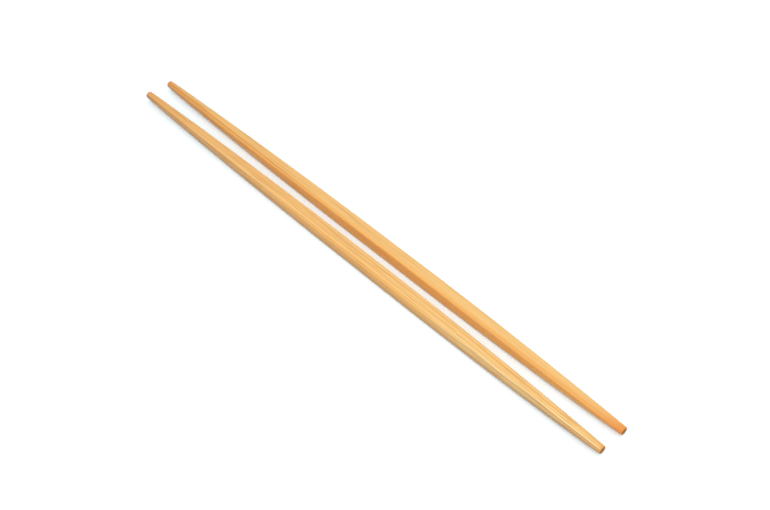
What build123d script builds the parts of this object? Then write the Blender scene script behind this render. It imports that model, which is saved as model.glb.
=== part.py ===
"""A pair of wooden chopsticks lying side by side, each planed from one length of straight-grained wood.

Both ends of a stick taper. The belly between the tapers is square, with its arrises just broken, and is the
flat that the stick rests on. The faces curve smoothly from the belly to the ends. The corner flats are a little
crowned and widen as they go, so the section runs from a square to an octagon. The arrises are eased and the
end rims turned to a bevel.

Frame: X runs along the sticks, with the eating tips at -X and the top ends at +X. Z is up from the surface
that the bellies rest on. The origin is on that surface, midway along and between the sticks.
"""

import os
from math import sqrt

from build123d import *

# Driving dimensions, in millimetres

# Lengths along a stick, from the eating tip to the top end
eating_taper_length = 114.0
belly_length = 40.0
top_taper_length = 86.0

# Section across opposite faces. The ends are regular octagons.
belly_width = 5.2
belly_height = 5.2
eating_tip_size = 2.75
top_end_size = 2.85

# Corner flats: their width along the belly, and how far they bulge midway along each taper
belly_flat_width = 0.6
flat_crown = 0.34

# Easing of the edges
arris_radius = 0.25
eating_tip_bevel = 0.25
top_end_bevel = 0.12

# How the pair lies
gap_between_bellies = 5.2

# Places and sizes worked out from the dimensions above
stick_length = eating_taper_length + belly_length + top_taper_length
tip_x = -stick_length / 2
top_x = stick_length / 2
belly_start_x = tip_x + eating_taper_length
belly_end_x = top_x - top_taper_length
axis_height = belly_height / 2
axis_spacing = belly_width + gap_between_bellies
belly_diagonal = (belly_width + belly_height) / sqrt(2)
belly_size_across_flats = belly_diagonal - belly_flat_width
tip_cap_radius = eating_tip_size / 2 - eating_tip_bevel
top_cap_radius = top_end_size / 2 - top_end_bevel

# Takes a cut clear of the stick
cut_reach = belly_diagonal


def face_edge(belly_size):
    """Edge of a planed face: straight along the belly, then an arc that leaves it smoothly to each end."""
    belly_start = (belly_start_x, belly_size / 2)
    belly_end = (belly_end_x, belly_size / 2)
    TangentArc(belly_start, (tip_x, eating_tip_size / 2), tangent=(-1, 0))
    Line(belly_start, belly_end)
    TangentArc(belly_end, (top_x, top_end_size / 2), tangent=(1, 0))


def flat_edge(belly_size):
    """Edge of a corner flat: just breaks the belly's arris, then runs crowned to each end."""
    belly_start = (belly_start_x, belly_size / 2)
    belly_end = (belly_end_x, belly_size / 2)
    SagittaArc((tip_x, eating_tip_size / 2), belly_start, flat_crown)
    Line(belly_start, belly_end)
    SagittaArc(belly_end, (top_x, top_end_size / 2), flat_crown)


# The planing passes: the roll of the stick about its axis, in degrees, the edge that is planed, and the size
# that is left across the belly. Each pass planes two opposite sides, right along the stick.
planing_passes = (
    (0, face_edge, belly_width),
    (90, face_edge, belly_height),
    (45, flat_edge, belly_size_across_flats),
    (-45, flat_edge, belly_size_across_flats),
)


def chopstick(axis_y):
    """One stick, lying along X with its axis at axis_y."""
    axis_plane = Plane(origin=(0, axis_y, axis_height))
    with BuildPart() as stick:
        for roll, planed_edge, belly_size in planing_passes:
            with BuildSketch(axis_plane.rotated((roll, 0, 0))):
                with BuildLine():
                    planed_edge(belly_size)
                    Line((tip_x, 0), (tip_x, eating_tip_size / 2))
                    Line((top_x, 0), (top_x, top_end_size / 2))
                    mirror(about=Plane.XZ)
                make_face()
            # The first pass makes the blank, and each later one planes it further.
            extrude(amount=cut_reach, both=True, mode=Mode.INTERSECT if stick.solids() else Mode.ADD)

        arrises = stick.edges().filter_by(lambda edge: abs(edge.tangent_at(0.5).X) > 0.5)
        fillet(arrises, radius=arris_radius)

        # The outline that the end rims are turned to, at 45 degrees from each cap outwards
        with BuildSketch(axis_plane):
            with BuildLine():
                Polyline(
                    (tip_x, 0),
                    (tip_x, tip_cap_radius),
                    (tip_x + cut_reach, tip_cap_radius + cut_reach),
                    (top_x - cut_reach, top_cap_radius + cut_reach),
                    (top_x, top_cap_radius),
                    (top_x, 0),
                    close=True,
                )
            make_face()
        revolve(axis=Axis(axis_plane.origin, (1, 0, 0)), mode=Mode.INTERSECT)
    return stick


os.makedirs("parts", exist_ok=True)
for node, side in (("front_chopstick", -1), ("back_chopstick", 1)):
    stick = chopstick(side * axis_spacing / 2)
    stick.part.label = node
    export_step(stick.part, f"parts/{node}.step")
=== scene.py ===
"""Looks for a pair of wooden chopsticks, laid out as an add-on and run as a script.

Each stick is a closed mesh with the planed faces, corner flats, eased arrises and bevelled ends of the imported
solid that it stands for, and a wood that is solid all through, so that its growth lines run on from face to
face and out at the ends. The stage is a white table under a soft lamp and a white sky.
"""

import math

import bpy
from mathutils import Matrix, Vector, noise


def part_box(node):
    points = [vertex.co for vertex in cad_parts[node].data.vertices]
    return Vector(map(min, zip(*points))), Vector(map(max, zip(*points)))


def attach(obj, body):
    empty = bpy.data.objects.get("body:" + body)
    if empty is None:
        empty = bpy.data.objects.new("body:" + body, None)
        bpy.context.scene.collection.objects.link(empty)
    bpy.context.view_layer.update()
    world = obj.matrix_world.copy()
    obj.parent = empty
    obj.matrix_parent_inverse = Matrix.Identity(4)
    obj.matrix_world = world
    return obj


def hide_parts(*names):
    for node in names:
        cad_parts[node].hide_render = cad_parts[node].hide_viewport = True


bl_info = {
    "name": "Wooden Chopsticks",
    "version": (1, 0, 0),
    "blender": (4, 5, 0),
    "location": "View3D > Sidebar > Chopsticks",
    "description": "Builds a pair of planed wooden chopsticks and the stage that they lie on",
    "category": "Add Mesh",
}

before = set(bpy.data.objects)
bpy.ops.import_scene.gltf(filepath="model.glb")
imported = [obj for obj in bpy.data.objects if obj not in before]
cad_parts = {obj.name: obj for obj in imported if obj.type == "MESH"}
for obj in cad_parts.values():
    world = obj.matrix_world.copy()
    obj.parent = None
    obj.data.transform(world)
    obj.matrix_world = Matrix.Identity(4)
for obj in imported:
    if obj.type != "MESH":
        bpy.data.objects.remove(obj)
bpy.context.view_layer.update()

MM = 0.001
MM_PER_METRE = 1000.0
BODY = "root"
FRONT_NODE = "front_chopstick"
BACK_NODE = "back_chopstick"

# A section has four faces and four corner flats, with an arris between each two neighbours.
SIDES = 8
SIDE_TURN = math.tau / SIDES

# The arris between a stick's upper face and its upper front flat
UPPER_FRONT_ARRIS = 2

# The arris of each stick's upper front flat that a dark growth line runs along, in the tapers
DARK_ARRIS = {"front": 3, "back": 2}

# How finely a stick's section and ends are drawn
ARC_STEPS = 4
FACE_STEPS = 12
FLAT_STEPS = 6
CAP_RINGS = 9
RIM_STEPS = 4
BEVEL_STEPS = 14

# The slope of the end bevels
BEVEL_ANGLE = math.radians(45)

# Length and width of the planing waves and of the worn stretches, and what keeps the two patterns apart
WAVE_SIZE = (7 * MM, 3 * MM)
WEAR_SIZE = (11 * MM, 2 * MM)
WEAR_OFFSET = 7.3

# The outward angles of the upper face and of the front one
UPWARD = 2 * SIDE_TURN
FRONTWARD = 4 * SIDE_TURN

# How far off straight in front a surface may face, and still be wholly one of the front sides
FRONT_FULL = math.radians(46)

# How far the heartwood of the front sides fades on to the upper face, and its share along the edge there. This
# deeper orange on the front faces and corner flats is partly the wood's own colour and partly painted shade.
HEART_AND_SHADE_FADE = 0.7 * MM
HEART_AND_SHADE_AT_EDGE = 0.6

# The share of the painted shade on an eating tip's sides that its upper face has, and how fast that painted
# shade fades as a surface faces further up
TOP_SHADE_SHARE = 0.2
SIDE_SHADE_POWER = 1.5

# How far from the eating tip the upper front arris has paled in full, partly from sanding and partly as a
# painted highlight
SANDING_AND_HIGHLIGHT_FADE = 60 * MM

# How far the warmth of an end's rim reaches in, and how much less warm an end is along its back
RIM_REACH = 0.7 * MM
BACK_COOLNESS = 0.6

# Where sapwood starts on a front side, from the middle of the stick, and how soon it is full
SAP_START = 40 * MM
SAP_RUN = 35 * MM

# How high up the front side the sapwood is full, as a share of half the stick's height
SAP_RISE = 0.9

# Length and width of the steps of the grain's patterns, in millimetres
WANDER_STEPS = (60, 9)
FIBRE_STEPS = (34, 0.27)
PORE_STEPS = (7, 0.17)
STREAK_STEPS = (30, 0.75)

# The levels of a pattern's noise between which it goes from none to full
LINE_LEVELS = (0.38, 0.62)
FIBRE_LEVELS = (0.32, 0.68)
PORE_LEVELS = (0.62, 0.78)
STREAK_LEVELS = (0.55, 0.72)

# What the lines and fibres take from the latewood's share and add to it, between those levels
LINE_SHARES = (-0.72, 0.28)
FIBRE_SHARES = (-0.5, 0.5)

# How far growth layers wander to either side, in millimetres
WANDER_MM = (-0.7, 0.7)

# How strongly each pattern colours the wood
LINE_STRENGTH = 0.7
FIBRE_STRENGTH = 0.3
PORE_STRENGTH = 0.6
CUT_END_STRENGTH = 0.9

# The usual share of latewood in plain wood, what the figure adds to it, and what the way to the tip adds; the
# last darkens the wood towards the eating tip, partly as its own tone and partly as painted shade
LATE_PLAIN = 0.15
LATE_FIGURED = 0.504
LATE_AND_SHADE_TOWARDS_TIP = 0.25

# Where growth lines start to grow bolder, in millimetres from the middle of the stick, and where they are
# boldest, as a share of the way from the middle to the top end
BOLD_START_MM = -40
BOLD_FULL = 0.7

# Where streaks grow stronger from the top end to the tip, how strong, and where the top end's own fade out
TIP_STREAK_REACH = (0.35, 1)
TIP_STREAK_SHARES = (0.1, 0.55)
TOP_STREAK_REACH = (0, 0.4)

# The surface: how deep the raised grain is, how far it shows, and how roughness departs from its usual value
GRAIN_DEPTH = 0.012 * MM
GRAIN_RELIEF = 0.5
LESS_ROUGH = 0.06
MORE_ROUGH = 0.08
CUT_END_ROUGHNESS = 0.3
WOOD_IOR = 1.5

# The table's half width, and from where to where it is overexposed more, from the middle of the sticks
TABLE_REACH = 3.0
FAR_LEVELS = (0.15, 0.4)

# The camera's sensor, in millimetres, and the nearest that it sees
SENSOR_WIDTH = 36
NEAREST_SEEN = 10 * MM

# Names of what the mesh tells the wood
# The arris attribute carries paler sanded arrises and a painted highlight along the upper front arris.
ARRIS_PALING_AND_HIGHLIGHT_ATTRIBUTE = "arris"
# The heart attribute carries deeper orange wood that is partly painted shade on the front faces and corner
# flats.
HEART_AND_SHADE_ATTRIBUTE = "heart"
SAP_ATTRIBUTE = "sap"
# The brown attribute carries painted shade on the sides of the eating tips and along the lower edges.
PAINTED_SHADE_ATTRIBUTE = "brown"
DARK_LINE_ATTRIBUTE = "dark_line"
END_GRAIN_ATTRIBUTE = "end_grain"
END_REACH_ATTRIBUTE = "end_reach"
ATTRIBUTES = (ARRIS_PALING_AND_HIGHLIGHT_ATTRIBUTE, HEART_AND_SHADE_ATTRIBUTE, SAP_ATTRIBUTE, PAINTED_SHADE_ATTRIBUTE, DARK_LINE_ATTRIBUTE,
              END_GRAIN_ATTRIBUTE, END_REACH_ATTRIBUTE)

# The surface is unrolled in rows, each a stretch of the stick, beside the two end caps.
UNROLLED_MAP = "OFBake"
ROWS = 4
ROW_START = 0.005
ROW_END = 0.92
ROW_MARGIN = 0.02
CAP_PLACE = 0.965
CAP_SCALE = 25
TIP_CAP_HEIGHT = 0.25
TOP_CAP_HEIGHT = 0.75


def linear(hex_colour):
    """Turns an sRGB hex colour into linear values."""
    channels = [int(hex_colour[i:i + 2], 16) / 255 for i in (1, 3, 5)]
    return [c / 12.92 if c <= 0.04045 else ((c + 0.055) / 1.055) ** 2.4 for c in channels]


class StickSizes(bpy.types.PropertyGroup):
    """Sizes of one stick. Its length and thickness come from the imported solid."""

    eating_taper: bpy.props.FloatProperty(
        name="Eating taper", description="Length that tapers to the eating tip",
        default=114 * MM, min=0, unit="LENGTH")
    top_taper: bpy.props.FloatProperty(
        name="Top taper", description="Length that tapers to the top end",
        default=86 * MM, min=0, unit="LENGTH")
    eating_tip: bpy.props.FloatProperty(
        name="Eating tip", description="Size of the eating tip across its faces",
        default=2.75 * MM, min=0, unit="LENGTH")
    top_end: bpy.props.FloatProperty(
        name="Top end", description="Size of the top end across its faces",
        default=2.85 * MM, min=0, unit="LENGTH")
    belly_flat: bpy.props.FloatProperty(
        name="Belly flat", description="Width of the corner flats along the belly",
        default=0.6 * MM, min=0, unit="LENGTH")
    flat_crown: bpy.props.FloatProperty(
        name="Flat crown", description="How far a corner flat bulges midway along a taper",
        default=0.34 * MM, min=0, unit="LENGTH")
    arris_radius: bpy.props.FloatProperty(
        name="Arris radius", description="Radius that eases the arrises along the stick",
        default=0.25 * MM, min=0, unit="LENGTH")
    end_arris_radius: bpy.props.FloatProperty(
        name="End arris radius", description="Radius that the easing of the arrises grows to at the ends",
        default=0.35 * MM, min=0, unit="LENGTH")
    eating_bevel: bpy.props.FloatProperty(
        name="Eating tip bevel", description="Bevel around the eating tip",
        default=0.25 * MM, min=0, unit="LENGTH")
    top_bevel: bpy.props.FloatProperty(
        name="Top end bevel", description="Bevel around the top end",
        default=0.12 * MM, min=0, unit="LENGTH")
    rim_radius: bpy.props.FloatProperty(
        name="Rim radius", description="Radius that eases both edges of an end bevel",
        default=0.07 * MM, min=0, unit="LENGTH")
    planing_depth: bpy.props.FloatProperty(
        name="Planing depth", description="Depth of the shallow waves that planing left in the faces",
        default=0.02 * MM, min=0, unit="LENGTH")
    arris_wear: bpy.props.FloatProperty(
        name="Arris wear", description="Depth that sanding took off the arrises, here more and there less",
        default=0.03 * MM, min=0, unit="LENGTH")
    front_corner_depth: bpy.props.FloatVectorProperty(
        name="Front corner depth", size=4, subtype="TRANSLATION", unit="LENGTH",
        description="Extra depth of the front stick's corner flats along the belly, from the upper back on",
        default=(0.04 * MM, 0.35 * MM, 0.12 * MM, 0))
    back_corner_depth: bpy.props.FloatVectorProperty(
        name="Back corner depth", size=4, subtype="TRANSLATION", unit="LENGTH",
        description="Extra depth of the back stick's corner flats along the belly, from the upper back on",
        default=(0.08 * MM, 0, 0.08 * MM, 0))
    front_end_corner_depth: bpy.props.FloatVectorProperty(
        name="Front end corner depth", size=4, subtype="TRANSLATION", unit="LENGTH",
        description="Extra depth of the front stick's corner flats at its ends, from the upper back on",
        default=(0, -0.42 * MM, 0, 0))
    back_end_corner_depth: bpy.props.FloatVectorProperty(
        name="Back end corner depth", size=4, subtype="TRANSLATION", unit="LENGTH",
        description="Extra depth of the back stick's corner flats at its ends, from the upper back on",
        default=(0, 0, 0, 0))
    station_gap: bpy.props.FloatProperty(
        name="Station gap", description="Distance between the mesh's sections along a stick",
        default=0.4 * MM, min=0.1 * MM, unit="LENGTH")


class WoodLooks(bpy.types.PropertyGroup):
    """Colours and grain of the wood."""

    earlywood: bpy.props.FloatVectorProperty(
        name="Earlywood", description="Pale honey wood between the growth lines",
        subtype="COLOR", default=linear("#FFD488"), min=0, max=1)
    latewood: bpy.props.FloatVectorProperty(
        name="Latewood", description="Denser, more orange wood of the growth lines",
        subtype="COLOR", default=linear("#EEA754"), min=0, max=1)
    # Heartwood also serves as painted shade on the front faces and corner flats.
    heartwood_and_shade: bpy.props.FloatVectorProperty(
        name="Heartwood", description="Deeper orange wood that grew nearer the heart of the tree",
        subtype="COLOR", default=linear("#FFB24C"), min=0, max=1)
    sapwood: bpy.props.FloatVectorProperty(
        name="Sapwood", description="Paler wood that grew nearer the bark of the tree",
        subtype="COLOR", default=linear("#FFDB98"), min=0, max=1)
    streaks: bpy.props.FloatVectorProperty(
        name="Streaks", description="Long brown streaks, mostly towards the eating tips",
        subtype="COLOR", default=linear("#BC7A30"), min=0, max=1)
    pores: bpy.props.FloatVectorProperty(
        name="Pores", description="Short dark dashes where planing opened a pore",
        subtype="COLOR", default=linear("#C58440"), min=0, max=1)
    ends: bpy.props.FloatVectorProperty(
        name="Ends", description="Warmer wood near the ends, where finish soaks in along the grain",
        subtype="COLOR", default=linear("#F0943C"), min=0, max=1)
    # Painted shade: the brown that darkens the sides of the eating tips and the lower edges.
    painted_shade: bpy.props.FloatVectorProperty(
        name="Browned wood", description="Wood darkened by use, on the eating tips and lower edges",
        subtype="COLOR", default=linear("#BE874C"), min=0, max=1)
    end_grain: bpy.props.FloatVectorProperty(
        name="End grain", description="Dark cut ends of the fibres",
        subtype="COLOR", default=linear("#B06F2A"), min=0, max=1)
    # Painted highlight, with some sanding: how far each stick's upper front arris is paled
    front_sanding: bpy.props.FloatProperty(
        name="Front sanding", description="How far sanding paled the front stick's upper front arris",
        subtype="FACTOR", default=0.62, min=0, max=1)
    back_sanding: bpy.props.FloatProperty(
        name="Back sanding", description="How far sanding paled the back stick's upper front arris",
        subtype="FACTOR", default=0.12, min=0, max=1)
    other_sanding: bpy.props.FloatProperty(
        name="Other sanding", description="How far sanding paled the other arrises",
        subtype="FACTOR", default=0.08, min=0, max=1)
    # Sanded arris is also the colour of the painted highlight along the upper front arris.
    sanded: bpy.props.FloatVectorProperty(
        name="Sanded arris", description="Paler wood where the arrises were sanded",
        subtype="COLOR", default=linear("#FFDD9A"), min=0, max=1)
    growth_gap: bpy.props.FloatProperty(
        name="Growth gap", description="Usual distance between growth lines",
        default=0.85 * MM, min=0.1 * MM, unit="LENGTH")
    roughness: bpy.props.FloatProperty(
        name="Roughness", description="Roughness of the sanded wood",
        subtype="FACTOR", default=0.5, min=0, max=1)
    front_growth_roll: bpy.props.FloatProperty(
        name="Front growth roll", description="Turn of the front stick's growth layers, which stand up at 0",
        subtype="ANGLE", default=math.radians(6))
    back_growth_roll: bpy.props.FloatProperty(
        name="Back growth roll", description="Turn of the back stick's growth layers, which stand up at 0",
        subtype="ANGLE", default=math.radians(-5))
    front_figure: bpy.props.FloatProperty(
        name="Front figure", description="How strongly growth lines and pores show on the front stick",
        subtype="FACTOR", default=0.65, min=0, max=2)
    front_top_boldness: bpy.props.FloatProperty(
        name="Front top boldness", description="How many times as strongly they show at its top end",
        default=2.8, min=0)
    front_top_streaks: bpy.props.FloatProperty(
        name="Front top streaks", description="How strongly brown streaks show at the front stick's top end",
        subtype="FACTOR", default=0.6, min=0, max=1)
    back_figure: bpy.props.FloatProperty(
        name="Back figure", description="How strongly growth lines and pores show on the back stick",
        subtype="FACTOR", default=0.3, min=0, max=2)
    back_top_boldness: bpy.props.FloatProperty(
        name="Back top boldness", description="How many times as strongly they show at its top end",
        default=1.1, min=0)
    back_top_streaks: bpy.props.FloatProperty(
        name="Back top streaks", description="How strongly brown streaks show at the back stick's top end",
        subtype="FACTOR", default=0.1, min=0, max=1)
    # How far the front sides take heartwood, which is partly painted shade on the front faces and corner flats
    front_heart: bpy.props.FloatVectorProperty(
        name="Front heart", size=2, default=(0.4, 0), min=0, max=1,
        description="How far the front stick's front side is heartwood along the belly and at the ends")
    back_heart: bpy.props.FloatVectorProperty(
        name="Back heart", size=2, default=(0.65, 0.6), min=0, max=1,
        description="How far the back stick's front side is heartwood along the belly and at the ends")
    front_sap: bpy.props.FloatProperty(
        name="Front sap", description="How far the front stick's front side is sapwood at its top end",
        subtype="FACTOR", default=0.75, min=0, max=1)
    back_sap: bpy.props.FloatProperty(
        name="Back sap", description="How far the back stick's front side is sapwood at its top end",
        subtype="FACTOR", default=0, min=0, max=1)
    warm_reach: bpy.props.FloatProperty(
        name="Warm reach", description="How far the warmer wood reaches in from the ends",
        default=8 * MM, min=0.1 * MM, unit="LENGTH")
    front_top_warmth: bpy.props.FloatProperty(
        name="Front top warmth", description="How warm the front stick's top end is",
        subtype="FACTOR", default=0.1, min=0, max=1)
    back_top_warmth: bpy.props.FloatProperty(
        name="Back top warmth", description="How warm the back stick's top end is",
        subtype="FACTOR", default=1.0, min=0, max=1)
    eating_warmth: bpy.props.FloatProperty(
        name="Eating warmth", description="How warm the eating tips are",
        subtype="FACTOR", default=0.5, min=0, max=1)
    rim_warmth: bpy.props.FloatProperty(
        name="Rim warmth", description="How warm the rims of both ends are",
        subtype="FACTOR", default=0.9, min=0, max=1)
    # Painted shade on the sides of the eating tips, and how far up from the tips it reaches
    tip_shade: bpy.props.FloatProperty(
        name="Tip browning", description="How brown the sides of the eating tips are",
        subtype="FACTOR", default=0.8, min=0, max=1)
    tip_shade_reach: bpy.props.FloatProperty(
        name="Tip brown reach", description="How far the brown reaches up from the eating tips",
        default=22 * MM, min=0.1 * MM, unit="LENGTH")
    # Painted shade along the lower edges, where the sticks meet the table
    front_foot_shade: bpy.props.FloatProperty(
        name="Front foot browning", description="How brown the front stick's lower edges are",
        subtype="FACTOR", default=0.7, min=0, max=1)
    back_foot_shade: bpy.props.FloatProperty(
        name="Back foot browning", description="How brown the back stick's lower edges are",
        subtype="FACTOR", default=0.06, min=0, max=1)
    front_dark_line: bpy.props.FloatVectorProperty(
        name="Front dark line", size=2, default=(0.75, 0.75), min=0, max=1,
        description="How dark the streak along the front stick's flat is in the eating and top tapers")
    back_dark_line: bpy.props.FloatVectorProperty(
        name="Back dark line", size=2, default=(0.75, 0.3), min=0, max=1,
        description="How dark the streak along the back stick's flat is in the eating and top tapers")
    # How far up the painted shade along the lower edges reaches, as a share of half the height
    foot_shade_reach: bpy.props.FloatProperty(
        name="Foot brown reach", description="Share of half the height that a lower edge's brown reaches",
        subtype="FACTOR", default=0.9, min=0.1, max=2)


class StageLooks(bpy.types.PropertyGroup):
    """Floor, light and camera."""

    floor: bpy.props.FloatVectorProperty(
        name="Floor", description="Colour of the white table",
        subtype="COLOR", default=linear("#BCBCBC"), min=0, max=1)
    floor_exposure: bpy.props.FloatVectorProperty(
        name="Floor exposure", size=3, min=1, default=(2.22, 2.5, 2.64),
        description="How far the camera overexposes the table in red, green and blue, so that it is white")
    far_exposure: bpy.props.FloatProperty(
        name="Far exposure", description="How far the camera overexposes the table well away from the sticks",
        default=4, min=1)
    sky_low: bpy.props.FloatProperty(
        name="Low sky", description="Strength of the white light that comes from level with the table",
        default=0.56, min=0)
    sky_high: bpy.props.FloatProperty(
        name="High sky", description="Strength of the white light that comes from overhead",
        default=0.85, min=0)
    lamp_power: bpy.props.FloatProperty(
        name="Lamp power", description="Power of the soft light",
        default=2.03, min=0, unit="POWER")
    lamp_width: bpy.props.FloatProperty(
        name="Lamp width", description="Width of the soft light",
        default=0.5, min=0, unit="LENGTH")
    lamp_distance: bpy.props.FloatProperty(
        name="Lamp distance", description="Distance of the soft light from the middle of the sticks",
        default=0.8, min=0, unit="LENGTH")
    lamp_azimuth: bpy.props.FloatProperty(
        name="Lamp azimuth", description="Where the soft light stands, turned from straight in front",
        subtype="ANGLE", default=math.radians(38))
    lamp_elevation: bpy.props.FloatProperty(
        name="Lamp elevation", description="How high the soft light stands",
        subtype="ANGLE", default=math.radians(54))
    camera_azimuth: bpy.props.FloatProperty(
        name="Camera azimuth", description="Where the camera stands, turned from straight in front",
        subtype="ANGLE", default=math.radians(47.18))
    camera_elevation: bpy.props.FloatProperty(
        name="Camera elevation", description="How far down the camera looks",
        subtype="ANGLE", default=math.radians(45.43))
    camera_distance: bpy.props.FloatProperty(
        name="Camera distance", description="Distance from the camera to the point that it looks at",
        default=428.9 * MM, min=0, unit="LENGTH")
    camera_target: bpy.props.FloatVectorProperty(
        name="Camera target", description="Point on the floor that the camera looks at",
        subtype="TRANSLATION", unit="LENGTH", default=(11.4 * MM, 4.71 * MM, 0))
    camera_lens: bpy.props.FloatProperty(
        name="Camera lens", description="Focal length on a sensor 36 mm wide",
        default=56.02, min=1, unit="CAMERA")


def add_node(tree, kind, inputs, **settings):
    """Adds a node, sets it up, and gives each input a value or a link from another node's output."""
    node = tree.nodes.new(kind)
    for name, value in settings.items():
        setattr(node, name, value)
    for socket, value in inputs.items():
        if isinstance(value, bpy.types.NodeSocket):
            tree.links.new(value, node.inputs[socket])
        else:
            node.inputs[socket].default_value = value
    return node


def new_material(name):
    """Makes an empty node material and returns it with its node tree."""
    material = bpy.data.materials.new(name)
    material.use_nodes = True
    material.node_tree.nodes.clear()
    return material, material.node_tree


def maths(tree, operation, *values):
    """Adds a calculation on values or other nodes' outputs, and returns its output."""
    return add_node(tree, "ShaderNodeMath", dict(enumerate(values)), operation=operation).outputs[0]


def remapped(tree, value, levels, shares=(0, 1), interpolation="LINEAR"):
    """Adds a node that turns a range of levels into a range of shares, and returns its output."""
    return add_node(tree, "ShaderNodeMapRange",
                    {"Value": value, "From Min": levels[0], "From Max": levels[1], "To Min": shares[0],
                     "To Max": shares[1]}, interpolation_type=interpolation).outputs[0]


def blended(tree, share, under, over):
    """Adds a node that lays a share of one colour over another, and returns its output."""
    return add_node(tree, "ShaderNodeMix", {"Factor": share, 6: under, 7: over}, data_type="RGBA").outputs[2]


def mesh_value(tree, attribute):
    """Adds a node that reads what the mesh tells the wood, and returns its output."""
    return add_node(tree, "ShaderNodeAttribute", {}, attribute_name=attribute).outputs["Fac"]


def grain_noise(tree, place, steps, detail, roughness=0.5):
    """Adds a noise that is drawn out along the stick, and returns its output."""
    length, width = steps
    stretched = add_node(tree, "ShaderNodeVectorMath", {0: place, 1: (1 / length, 1 / width, 1 / width)},
                         operation="MULTIPLY")
    return add_node(tree, "ShaderNodeTexNoise",
                    {"Vector": stretched.outputs[0], "Scale": 1, "Detail": detail,
                     "Roughness": roughness}).outputs["Fac"]


def planed_wood(name, looks, profile, growth_roll, figure, top_boldness, top_streaks):
    """Straight-grained honey-coloured wood, planed and then sanded.

    To the eye it is pale honey with fine orange growth lines and fibres that run right along the stick, short
    darker dashes where pores were cut open, some long brown streaks, a satin surface with a little raised
    grain, warmer wood near the ends and dark end grain. Painted light lies over it: painted shade on the front
    faces and corner flats, on the sides of the eating tips, along the lower edges and a little towards the
    eating tip, and a painted highlight along the upper front arris.

    The growth layers are planes along the stick. growth_roll turns them about its axis: standing layers draw
    lines on the upper face, and lying ones draw them on the sides. figure is how strongly the lines and pores
    show, and top_boldness how many times as strongly the lines show at the top end. top_streaks is how
    strongly the streaks show there.
    """
    material, tree = new_material(name)
    place = add_node(tree, "ShaderNodeTexCoord", {})
    from_axis = add_node(tree, "ShaderNodeVectorMath", {0: place.outputs["Object"], 1: profile.axis},
                         operation="SUBTRACT")
    in_mm = add_node(tree, "ShaderNodeVectorMath", {0: from_axis.outputs[0], "Scale": MM_PER_METRE},
                     operation="SCALE")
    rolled = add_node(tree, "ShaderNodeVectorRotate", {"Vector": in_mm.outputs[0], "Angle": growth_roll},
                      rotation_type="X_AXIS").outputs[0]
    layers = add_node(tree, "ShaderNodeSeparateXYZ", {0: rolled})
    along = layers.outputs["X"]
    tip_mm, top_mm = profile.tip_x * MM_PER_METRE, profile.top_x * MM_PER_METRE
    towards_tip = remapped(tree, along, (top_mm, tip_mm))

    # Growth layers wander sideways by a few tenths of a millimetre along the stick.
    wander = remapped(tree, grain_noise(tree, rolled, WANDER_STEPS, detail=1), (0, 1), WANDER_MM)
    across = maths(tree, "ADD", layers.outputs["Y"], wander)
    # A noise rises and falls once in about two of its steps.
    growth = add_node(tree, "ShaderNodeTexNoise",
                      {"W": across, "Scale": 2 * MM / looks.growth_gap, "Detail": 3, "Roughness": 0.65},
                      noise_dimensions="1D")
    lines = remapped(tree, growth.outputs["Fac"], LINE_LEVELS, LINE_SHARES)

    # Fibres and opened pores are drawn wider than they are, so that they show.
    fibres = remapped(tree, grain_noise(tree, rolled, FIBRE_STEPS, detail=2, roughness=0.6), FIBRE_LEVELS,
                      FIBRE_SHARES)
    pores = remapped(tree, grain_noise(tree, rolled, PORE_STEPS, detail=0), PORE_LEVELS,
                     interpolation="SMOOTHSTEP")
    streaks = remapped(tree, grain_noise(tree, rolled, STREAK_STEPS, detail=1), STREAK_LEVELS,
                       interpolation="SMOOTHSTEP")

    # The wood is a little darker and more orange towards the eating tip, partly its own tone and partly painted
    # shade, and its lines are bolder towards the top end.
    usual_share = maths(tree, "MULTIPLY_ADD", towards_tip, LATE_AND_SHADE_TOWARDS_TIP,
                        LATE_FIGURED * figure + LATE_PLAIN)
    boldness = remapped(tree, along, (BOLD_START_MM, BOLD_FULL * top_mm), (1, top_boldness))
    fibre_marks = maths(tree, "MULTIPLY", fibres, FIBRE_STRENGTH)
    marks = maths(tree, "MULTIPLY_ADD", lines, LINE_STRENGTH * figure, fibre_marks)
    late_share = maths(tree, "MULTIPLY_ADD", marks, boldness, usual_share)
    tip_streaks_here = remapped(tree, towards_tip, TIP_STREAK_REACH, TIP_STREAK_SHARES)
    top_streaks_here = remapped(tree, towards_tip, TOP_STREAK_REACH, (top_streaks, 0))
    streaks_here = maths(tree, "MAXIMUM", tip_streaks_here, top_streaks_here)
    streak_share = maths(tree, "MULTIPLY", streaks, streaks_here)
    pore_share = maths(tree, "MULTIPLY", pores, PORE_STRENGTH * figure)
    cut_end = mesh_value(tree, END_GRAIN_ATTRIBUTE)
    cut_share = maths(tree, "MULTIPLY", cut_end, CUT_END_STRENGTH)

    # Each colour lies over those before it.
    colour = (*looks.earlywood, 1)
    for share, over in ((late_share, looks.latewood),
                        # Heartwood, partly painted shade on the front faces and corner flats
                        (mesh_value(tree, HEART_AND_SHADE_ATTRIBUTE), looks.heartwood_and_shade),
                        (mesh_value(tree, SAP_ATTRIBUTE), looks.sapwood),
                        (streak_share, looks.streaks),
                        (pore_share, looks.pores),
                        (mesh_value(tree, DARK_LINE_ATTRIBUTE), looks.streaks),
                        (mesh_value(tree, END_REACH_ATTRIBUTE), looks.ends),
                        # Painted shade on the sides of the eating tips and along the lower edges
                        (mesh_value(tree, PAINTED_SHADE_ATTRIBUTE), looks.painted_shade),
                        # Sanded arrises, with a painted highlight along the upper front arris
                        (mesh_value(tree, ARRIS_PALING_AND_HIGHLIGHT_ATTRIBUTE), looks.sanded),
                        (cut_share, looks.end_grain)):
        colour = blended(tree, share, colour, (*over, 1))

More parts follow.
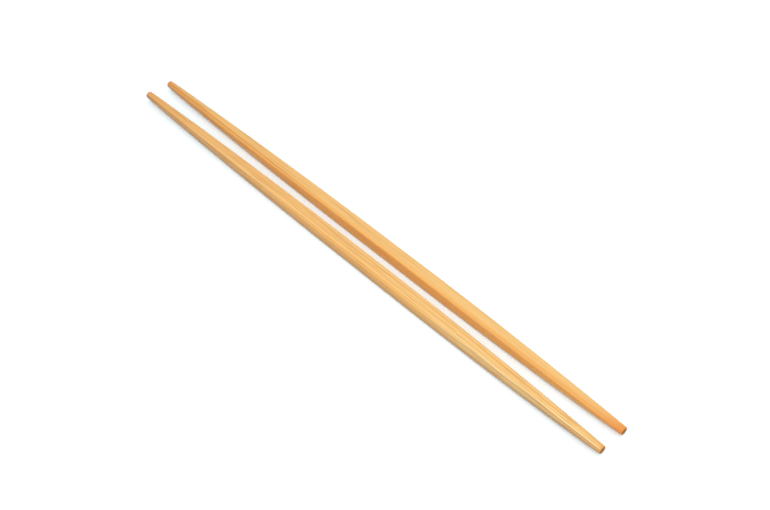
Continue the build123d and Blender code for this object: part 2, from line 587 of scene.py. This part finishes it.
    # Raised grain, and pores that sink
    raised = maths(tree, "ADD", fibres, lines)
    height = maths(tree, "SUBTRACT", raised, pores)
    bump = add_node(tree, "ShaderNodeBump",
                    {"Height": height, "Strength": GRAIN_RELIEF, "Distance": GRAIN_DEPTH})
    # Cut fibre ends scatter more than planed wood.
    rough = remapped(tree, fibres, FIBRE_SHARES, (looks.roughness - LESS_ROUGH, looks.roughness + MORE_ROUGH))
    end_rough = maths(tree, "MULTIPLY_ADD", cut_end, CUT_END_ROUGHNESS, rough)

    shader = add_node(tree, "ShaderNodeBsdfPrincipled",
                      {"Base Color": colour, "Roughness": end_rough, "IOR": WOOD_IOR,
                       "Normal": bump.outputs[0]})
    add_node(tree, "ShaderNodeOutputMaterial", {"Surface": shader.outputs[0]})
    return material


class StickProfile:
    """Sizes of a stick's section anywhere along its length, in metres, from its axis outwards."""

    def __init__(self, node, sizes, corner_depth, end_corner_depth):
        low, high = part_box(node)
        self.axis = Vector((0, (low.y + high.y) / 2, (low.z + high.z) / 2))
        self.tip_x, self.top_x = low.x, high.x
        self.belly_half = (high.z - low.z) / 2
        self.belly_start = self.tip_x + sizes.eating_taper
        self.belly_end = self.top_x - sizes.top_taper
        self.tip_half = sizes.eating_tip / 2
        self.top_half = sizes.top_end / 2
        self.flat_belly_half = self.belly_half * math.sqrt(2) - sizes.belly_flat / 2
        self.flat_crown = sizes.flat_crown
        self.arris_radius = sizes.arris_radius
        self.end_arris_radius = sizes.end_arris_radius
        self.corner_depth = corner_depth
        self.end_corner_depth = end_corner_depth

    def taper_at(self, x):
        """How far x is into a taper, that taper's length, and half the size at its end."""
        if x < self.belly_start:
            return self.belly_start - x, self.belly_start - self.tip_x, self.tip_half
        return max(x - self.belly_end, 0.0), self.top_x - self.belly_end, self.top_half

    def face_half(self, x):
        """From the axis to a planed face, which leaves the belly as an arc."""
        into, length, end_half = self.taper_at(x)
        drop = self.belly_half - end_half
        radius = (length ** 2 + drop ** 2) / (2 * drop)
        return self.belly_half - radius + math.sqrt(radius ** 2 - into ** 2)

    def flat_half(self, x):
        """From the axis to a corner flat, which runs a little crowned from the belly to the end."""
        into, length, end_half = self.taper_at(x)
        share = into / length
        chord = self.flat_belly_half + (end_half - self.flat_belly_half) * share
        return chord + 4 * self.flat_crown * share * (1 - share)

    def arris_radius_at(self, x):
        """Radius of the arrises, which are rounder towards the ends."""
        into, length, _ = self.taper_at(x)
        return self.arris_radius + (self.end_arris_radius - self.arris_radius) * (into / length) ** 2

    def belly_share(self, x):
        """1 along the belly, falling to 0 halfway along each taper."""
        into, length, _ = self.taper_at(x)
        return max(1 - 2 * into / length, 0.0)

    def halves(self, x):
        """From the axis to each side of the section, which are in turn a face and a corner flat."""
        into, length, _ = self.taper_at(x)
        # A corner flat that was planed deeper along the belly eases out over the first half of each taper.
        belly_share = self.belly_share(x)
        eased_share = belly_share ** 2 * (3 - 2 * belly_share)
        end_share = (into / length) ** 2
        face, flat = self.face_half(x), self.flat_half(x)
        halves = []
        for at_belly, at_end in zip(self.corner_depth, self.end_corner_depth):
            halves += [face, flat - at_belly * eased_share - at_end * end_share]
        return halves


def section(halves, arris_radius):
    """Points round a section as (y, z, outward angle, the arris that they are on or None), from +Y to +Z."""
    cosine, sine = math.cos(SIDE_TURN), math.sin(SIDE_TURN)
    corners = []
    for side in range(SIDES):
        # Centre of the arc that rounds the arris between this side and the next one
        along, other = halves[side] - arris_radius, halves[(side + 1) % SIDES] - arris_radius
        turned = (other - along * cosine) / sine
        angle = side * SIDE_TURN
        corners.append((along * math.cos(angle) - turned * math.sin(angle),
                        along * math.sin(angle) + turned * math.cos(angle)))
    points = []
    for side in range(SIDES):
        y, z = corners[side]
        for step in range(ARC_STEPS + 1):
            angle = (side + step / ARC_STEPS) * SIDE_TURN
            points.append((y + arris_radius * math.cos(angle), z + arris_radius * math.sin(angle),
                           angle, side))
        angle = (side + 1) * SIDE_TURN
        start = points[-1]
        next_y, next_z = corners[(side + 1) % SIDES]
        end = (next_y + arris_radius * math.cos(angle), next_z + arris_radius * math.sin(angle))
        steps = FLAT_STEPS if side % 2 == 0 else FACE_STEPS
        for step in range(1, steps):
            share = step / steps
            points.append((start[0] + (end[0] - start[0]) * share, start[1] + (end[1] - start[1]) * share,
                           angle, None))
    return points


def turned_end(bevel, end_half, rim_radius):
    """An end's turned outline, from near the axis outwards.

    Its points are (distance from the end, radius, end grain share).
    """
    flat_radius = end_half - bevel - rim_radius * math.tan(BEVEL_ANGLE / 2)
    outline = [(0.0, flat_radius * ring / CAP_RINGS, 1.0) for ring in range(1, CAP_RINGS)]
    for step in range(RIM_STEPS + 1):
        angle = BEVEL_ANGLE * step / RIM_STEPS
        outline.append((rim_radius * (1 - math.cos(angle)), flat_radius + rim_radius * math.sin(angle),
                        1 - step / RIM_STEPS))
    # The bevel runs out until it is clear of the section's corners.
    from_end, radius, _ = outline[-1]
    run = end_half * math.sqrt(2) + rim_radius - radius
    for step in range(1, BEVEL_STEPS + 1):
        outline.append((from_end + run * step / BEVEL_STEPS, radius + run * step / BEVEL_STEPS, 0.0))
    return outline


def stick_rings(profile, sizes):
    """Sections along a stick as (x, greatest radius, end grain share), from the eating tip to the top end."""
    tip = turned_end(sizes.eating_bevel, profile.tip_half, sizes.rim_radius)
    top = turned_end(sizes.top_bevel, profile.top_half, sizes.rim_radius)
    start, end = profile.tip_x + tip[-1][0], profile.top_x - top[-1][0]
    stations = round((end - start) / sizes.station_gap)
    rings = [(profile.tip_x + from_end, radius, cut_end) for from_end, radius, cut_end in tip]
    rings += [(start + (end - start) * station / stations, math.inf, 0.0) for station in range(1, stations)]
    rings += [(profile.top_x - from_end, radius, cut_end) for from_end, radius, cut_end in reversed(top)]
    return rings


def eased_least(size, limit, reach):
    """The lesser of two sizes, rounded off where they are within reach of each other."""
    nearness = max(reach - abs(size - limit), 0.0) / reach
    return min(size, limit) - nearness ** 2 * reach / 4


def planed_relief(x, y, z, near_arris, sizes):
    """How far the surface lies inside its ideal form: shallow planing waves, and wear along the arrises."""
    length, width = WAVE_SIZE
    wave = noise.noise(Vector((x / length, y / width, z / width)))
    length, width = WEAR_SIZE
    wear = noise.noise(Vector((x / length, y / width + WEAR_OFFSET, z / width)))
    return sizes.planing_depth * (0.5 + 0.5 * wave) + near_arris * sizes.arris_wear * (0.5 + 0.5 * wear)


def unrolled(faces, positions, profile, rings, around):
    """Places of every face corner on the unrolled map."""
    belly = section(profile.halves(0.0), 0.0)
    run = [0.0]
    for point in range(around):
        y, z = belly[point][:2]
        next_y, next_z = belly[(point + 1) % around][:2]
        run.append(run[-1] + math.hypot(next_y - y, next_z - z))
    row_length = (profile.top_x - profile.tip_x) / ROWS
    ring_points = around * len(rings)
    places = []
    for corners in faces:
        on_caps = all(corner >= ring_points or rings[corner // around][2] == 1.0 for corner in corners)
        low_x = min(positions[corner][0] for corner in corners)
        row = min(int((low_x - profile.tip_x) / row_length), ROWS - 1)
        round_places = [corner % around for corner in corners]
        wraps = max(round_places) - min(round_places) > 1
        for corner, place in zip(corners, round_places):
            x, y, z = positions[corner]
            if on_caps:
                places.append(CAP_PLACE + (y - profile.axis.y) * CAP_SCALE)
                cap_height = TIP_CAP_HEIGHT if x < 0 else TOP_CAP_HEIGHT
                places.append(cap_height + (z - profile.axis.z) * CAP_SCALE)
            else:
                turn = run[around if wraps and place == 0 else place] / run[around]
                along = (x - profile.tip_x) / row_length - row
                places.append(ROW_START + (ROW_END - ROW_START) * along)
                places.append((row + ROW_MARGIN + (1 - 2 * ROW_MARGIN) * turn) / ROWS)
    return places


def front_share(angle, behind):
    """How far a surface shows the wood of the front sides, from 0 to 1.

    It faces outwards at an angle, and lies so far behind the upper face's front edge. The wood of the front
    sides is heartwood and also painted shade, which darkens the front faces and corner flats.
    """
    off_front = abs(angle - FRONTWARD)
    if off_front < FRONT_FULL:
        return 1.0
    off_upward = FRONTWARD - UPWARD
    share = (off_upward - off_front) / (off_upward - FRONT_FULL)
    faded = max(1 - max(behind, 0.0) / HEART_AND_SHADE_FADE, 0.0)
    return HEART_AND_SHADE_AT_EDGE * faded ** 2 + (1 - HEART_AND_SHADE_AT_EDGE) * max(share, 0.0)


def stick_surface(side, profile, sizes, looks, rings):
    """Points of a stick's rings, and what the mesh tells the wood at each of them."""
    top_warmth = getattr(looks, f"{side}_top_warmth")
    sanding = getattr(looks, f"{side}_sanding")
    foot_shade = getattr(looks, f"{side}_foot_shade")
    eating_line, top_line = getattr(looks, f"{side}_dark_line")
    belly_heart_and_shade, end_heart_and_shade = getattr(looks, f"{side}_heart")
    top_sap = getattr(looks, f"{side}_sap")
    positions = []
    told = {attribute: [] for attribute in ATTRIBUTES}
    for x, limit, cut_end in rings:
        inward = 1 if x < 0 else -1
        from_end = min(x - profile.tip_x, profile.top_x - x)
        warmth = math.exp(-from_end / looks.warm_reach) * (looks.eating_warmth if x < 0 else top_warmth)
        warmth = max(warmth, looks.rim_warmth * math.exp(-from_end / RIM_REACH))
        # Painted shade on the eating tip, fading towards the top end
        tip_shade_share = looks.tip_shade * math.exp((profile.tip_x - x) / looks.tip_shade_reach)
        # Painted highlight along the upper front arris, with some sanding, growing towards the top end
        sanded = sanding * min((x - profile.tip_x) / SANDING_AND_HIGHLIGHT_FADE, 1.0)
        belly_share = profile.belly_share(x)
        # Heartwood on the front sides, partly painted shade
        heart = belly_heart_and_shade * belly_share + end_heart_and_shade * (1 - belly_share)
        sap = top_sap * min(max(x - SAP_START, 0.0) / SAP_RUN, 1.0)
        line = (eating_line if x < 0 else top_line) * (1 - belly_share)
        face_half = profile.face_half(x)
        points = section(profile.halves(x), profile.arris_radius_at(x))
        front_edge = min(y for y, z, angle, on_arris in points if on_arris is None and angle == UPWARD)
        foot = min(z for y, z, angle, on_arris in points if on_arris is None and angle == FRONTWARD)
        for y, z, angle, on_arris in points:
            near_arris = 0.0 if on_arris is None else 1.0
            out = math.hypot(y, z)
            turned = eased_least(out, limit, sizes.rim_radius) / out
            depth = planed_relief(x, y + profile.axis.y, z, near_arris, sizes)
            sunk = depth * (1 - cut_end)
            positions.append((x + inward * depth * cut_end,
                              profile.axis.y + y * turned - sunk * math.cos(angle),
                              profile.axis.z + z * turned - sunk * math.sin(angle)))
            facing = front_share(angle, y - front_edge)
            above_foot = max(z - foot, 0.0) / face_half
            # Paled arrises: sanding, and a painted highlight on the upper front arris
            paled = sanded if on_arris == UPPER_FRONT_ARRIS else looks.other_sanding * near_arris
            paled = max(paled, looks.other_sanding if turned < 1 else 0.0)
            # Painted shade: on an eating tip it is strongest on the sides, and along the lower edges it fades
            # upwards
            sideways = 1 - max(math.sin(angle), 0.0) ** SIDE_SHADE_POWER
            side_shade = tip_shade_share * (TOP_SHADE_SHARE + (1 - TOP_SHADE_SHARE) * sideways)
            foot_shade_share = foot_shade * max(1 - above_foot / looks.foot_shade_reach, 0.0)
            told[ARRIS_PALING_AND_HIGHLIGHT_ATTRIBUTE].append(paled * (1 - cut_end))
            told[HEART_AND_SHADE_ATTRIBUTE].append(heart * facing)
            told[SAP_ATTRIBUTE].append(sap * facing * min(above_foot / SAP_RISE, 1.0))
            told[PAINTED_SHADE_ATTRIBUTE].append(max(side_shade, foot_shade_share))
            told[DARK_LINE_ATTRIBUTE].append(line if on_arris == DARK_ARRIS[side] else 0.0)
            told[END_GRAIN_ATTRIBUTE].append(cut_end)
            told[END_REACH_ATTRIBUTE].append(warmth * (1 - BACK_COOLNESS * max(y, 0.0) / face_half))
    return positions, told


def build_stick(side, profile, sizes, looks):
    """Builds one stick as a closed mesh of rings, with what the wood reads from it."""
    rings = stick_rings(profile, sizes)
    positions, told = stick_surface(side, profile, sizes, looks, rings)
    around = len(positions) // len(rings)
    faces = [(ring * around + point, ring * around + (point + 1) % around,
              (ring + 1) * around + (point + 1) % around, (ring + 1) * around + point)
             for ring in range(len(rings) - 1) for point in range(around)]

    # One point in the middle of each end closes the mesh.
    tip_centre = len(positions)
    top_centre = tip_centre + 1
    last_ring = (len(rings) - 1) * around
    for x in (profile.tip_x, profile.top_x):
        positions.append((x, profile.axis.y, profile.axis.z))
        for attribute, values in told.items():
            values.append(1.0 if attribute == END_GRAIN_ATTRIBUTE else 0.0)
    faces += [(tip_centre, (point + 1) % around, point) for point in range(around)]
    faces += [(top_centre, last_ring + point, last_ring + (point + 1) % around) for point in range(around)]

    name = f"{side}_stick"
    mesh = bpy.data.meshes.new(name)
    mesh.from_pydata(positions, [], faces)
    mesh.polygons.foreach_set("use_smooth", [True] * len(mesh.polygons))
    for attribute, values in told.items():
        mesh.attributes.new(attribute, "FLOAT", "POINT").data.foreach_set("value", values)
    places = unrolled(faces, positions, profile, rings, around)
    mesh.uv_layers.new(name=UNROLLED_MAP).uv.foreach_set("vector", places)
    mesh.update()
    stick = bpy.data.objects.new(name, mesh)
    bpy.context.scene.collection.objects.link(stick)
    return stick


class CHOPSTICKS_OT_sticks(bpy.types.Operator):
    """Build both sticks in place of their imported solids"""

    bl_idname = "chopsticks.sticks"
    bl_label = "Build Sticks"

    def execute(self, context):
        sizes = context.scene.chopstick_sizes
        looks = context.scene.chopstick_wood
        for side, node in (("front", FRONT_NODE), ("back", BACK_NODE)):
            profile = StickProfile(node, sizes, getattr(sizes, f"{side}_corner_depth"),
                                   getattr(sizes, f"{side}_end_corner_depth"))
            stick = build_stick(side, profile, sizes, looks)
            stick.data.materials.append(
                planed_wood(f"planed_wood_{side}", looks, profile, getattr(looks, f"{side}_growth_roll"),
                            getattr(looks, f"{side}_figure"), getattr(looks, f"{side}_top_boldness"),
                            getattr(looks, f"{side}_top_streaks")))
            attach(stick, BODY)
            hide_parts(node)
        return {"FINISHED"}


def direction(azimuth, elevation):
    """Unit vector to a place that is turned by azimuth from straight in front, and raised by elevation."""
    return Vector((math.sin(azimuth) * math.cos(elevation), -math.cos(azimuth) * math.cos(elevation),
                   math.sin(elevation)))


def aim(thing, place, target):
    """Puts a lamp or camera at a place and points it at a target, upright."""
    turn = (target - place).to_track_quat("-Z", "Y").to_matrix().to_4x4()
    thing.matrix_world = Matrix.Translation(place) @ turn


def white_table(stage):
    """Matt white laminate, which shows only soft shadows. The camera sees it overexposed to plain white."""
    material, tree = new_material("matt_white_laminate")
    path = add_node(tree, "ShaderNodeLightPath", {})
    seen = maths(tree, "MAXIMUM", path.outputs["Is Camera Ray"], path.outputs["Is Glossy Ray"])
    seen = maths(tree, "MAXIMUM", seen, path.outputs["Is Transmission Ray"])
    place = add_node(tree, "ShaderNodeTexCoord", {})
    distance = add_node(tree, "ShaderNodeVectorMath", {0: place.outputs["Object"]}, operation="LENGTH")
    far_share = remapped(tree, distance.outputs["Value"], FAR_LEVELS)
    far_seen = maths(tree, "MULTIPLY", far_share, path.outputs["Is Camera Ray"])
    near = [channel * exposure for channel, exposure in zip(stage.floor, stage.floor_exposure)]
    far = [channel * stage.far_exposure for channel in stage.floor]
    overexposed = blended(tree, far_seen, (*near, 1), (*far, 1))
    colour = blended(tree, seen, (*stage.floor, 1), overexposed)
    shader = add_node(tree, "ShaderNodeBsdfDiffuse", {"Color": colour})
    add_node(tree, "ShaderNodeOutputMaterial", {"Surface": shader.outputs[0]})
    return material


def white_surroundings(stage):
    """White sky that is brighter overhead than at the sides. The camera sees it plain white."""
    world = bpy.data.worlds.new("white_surroundings")
    world.use_nodes = True
    tree = world.node_tree
    tree.nodes.clear()
    place = add_node(tree, "ShaderNodeTexCoord", {})
    height = add_node(tree, "ShaderNodeSeparateXYZ", {0: place.outputs["Generated"]})
    light = remapped(tree, height.outputs["Z"], (0, 1), (stage.sky_low, stage.sky_high))
    path = add_node(tree, "ShaderNodeLightPath", {})
    strength = remapped(tree, path.outputs["Is Camera Ray"], (0, 1), (light, 1.0))
    sky = add_node(tree, "ShaderNodeBackground", {"Color": (1, 1, 1, 1), "Strength": strength})
    add_node(tree, "ShaderNodeOutputWorld", {"Surface": sky.outputs[0]})
    return world


class CHOPSTICKS_OT_stage(bpy.types.Operator):
    """Set the white table, the light and the camera"""

    bl_idname = "chopsticks.stage"
    bl_label = "Set Stage"

    def execute(self, context):
        scene = context.scene
        stage = scene.chopstick_stage
        scene.view_settings.view_transform = "Standard"

        mesh = bpy.data.meshes.new("table")
        mesh.from_pydata([(-TABLE_REACH, -TABLE_REACH, 0), (TABLE_REACH, -TABLE_REACH, 0),
                          (TABLE_REACH, TABLE_REACH, 0), (-TABLE_REACH, TABLE_REACH, 0)], [], [(0, 1, 2, 3)])
        mesh.materials.append(white_table(stage))
        table = bpy.data.objects.new("table", mesh)
        scene.collection.objects.link(table)

        scene.world = white_surroundings(stage)

        light = bpy.data.lights.new("lamp", "AREA")
        light.energy = stage.lamp_power
        light.size = stage.lamp_width
        lamp = bpy.data.objects.new("lamp", light)
        scene.collection.objects.link(lamp)
        aim(lamp, direction(stage.lamp_azimuth, stage.lamp_elevation) * stage.lamp_distance, Vector())

        camera = bpy.data.cameras.new("camera")
        camera.lens = stage.camera_lens
        camera.sensor_width = SENSOR_WIDTH
        camera.clip_start = NEAREST_SEEN
        eye = bpy.data.objects.new("camera", camera)
        scene.collection.objects.link(eye)
        target = Vector(stage.camera_target)
        outward = direction(stage.camera_azimuth, stage.camera_elevation)
        aim(eye, target + outward * stage.camera_distance, target)
        scene.camera = eye
        return {"FINISHED"}


class VIEW3D_PT_chopsticks(bpy.types.Panel):
    """Sizes, wood and stage of the chopsticks"""

    bl_label = "Chopsticks"
    bl_space_type = "VIEW_3D"
    bl_region_type = "UI"
    bl_category = "Chopsticks"

    def draw(self, context):
        for group, operator in ((context.scene.chopstick_sizes, None),
                                (context.scene.chopstick_wood, CHOPSTICKS_OT_sticks),
                                (context.scene.chopstick_stage, CHOPSTICKS_OT_stage)):
            column = self.layout.column()
            for name in group.__annotations__:
                column.prop(group, name)
            if operator:
                column.operator(operator.bl_idname)


CLASSES = (StickSizes, WoodLooks, StageLooks, CHOPSTICKS_OT_sticks, CHOPSTICKS_OT_stage, VIEW3D_PT_chopsticks)


def register():
    for cls in CLASSES:
        bpy.utils.register_class(cls)
    bpy.types.Scene.chopstick_sizes = bpy.props.PointerProperty(type=StickSizes)
    bpy.types.Scene.chopstick_wood = bpy.props.PointerProperty(type=WoodLooks)
    bpy.types.Scene.chopstick_stage = bpy.props.PointerProperty(type=StageLooks)


def unregister():
    del bpy.types.Scene.chopstick_stage
    del bpy.types.Scene.chopstick_wood
    del bpy.types.Scene.chopstick_sizes
    for cls in reversed(CLASSES):
        bpy.utils.unregister_class(cls)


def main():
    register()
    bpy.ops.chopsticks.sticks()
    bpy.ops.chopsticks.stage()


if __name__ == "__main__":
    main()
